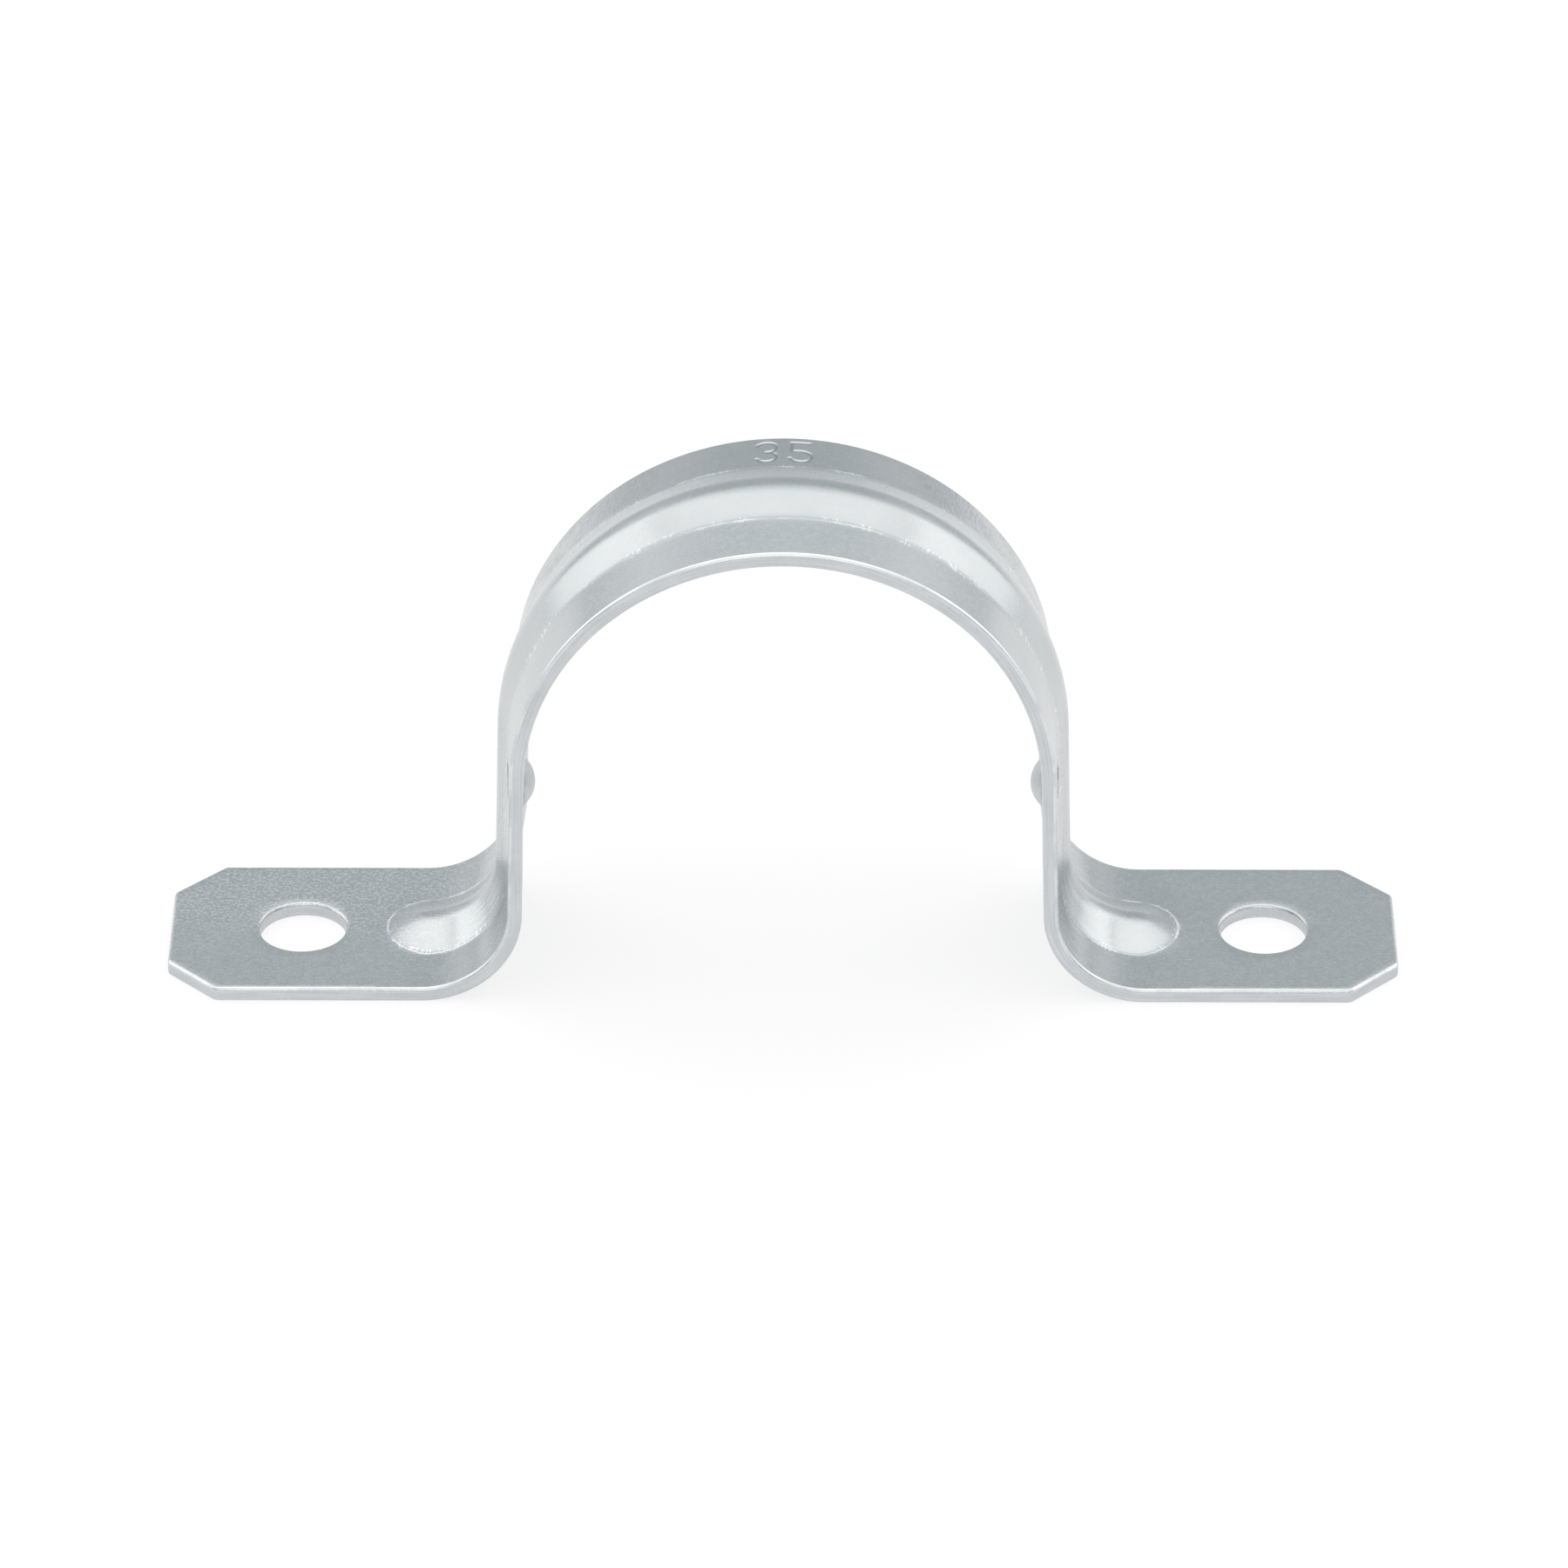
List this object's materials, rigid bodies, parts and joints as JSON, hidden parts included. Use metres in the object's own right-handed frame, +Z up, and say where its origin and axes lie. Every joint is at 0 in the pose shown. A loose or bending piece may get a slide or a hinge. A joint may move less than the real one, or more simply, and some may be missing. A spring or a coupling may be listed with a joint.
{
  "type": "conduit strap",
  "caption": "Arched sheet-metal strap with a stiffening bead and a screw hole in each foot, for fixing conduit to a wall.",
  "frame": {"origin": "middle of the mounting face, half way between the two screw holes", "axes": "+X from foot to foot through both screw holes, +Y along the conduit, +Z up from the wall towards the crown of the arch"},
  "size_m": [0.102, 0.0186, 0.0442],
  "materials": {
    "zinc": "galvanised sheet steel, satin, with a fine speckle"
  },
  "bodies": {
    "root": {"strap": "zinc"}
  },
  "joints": []
}
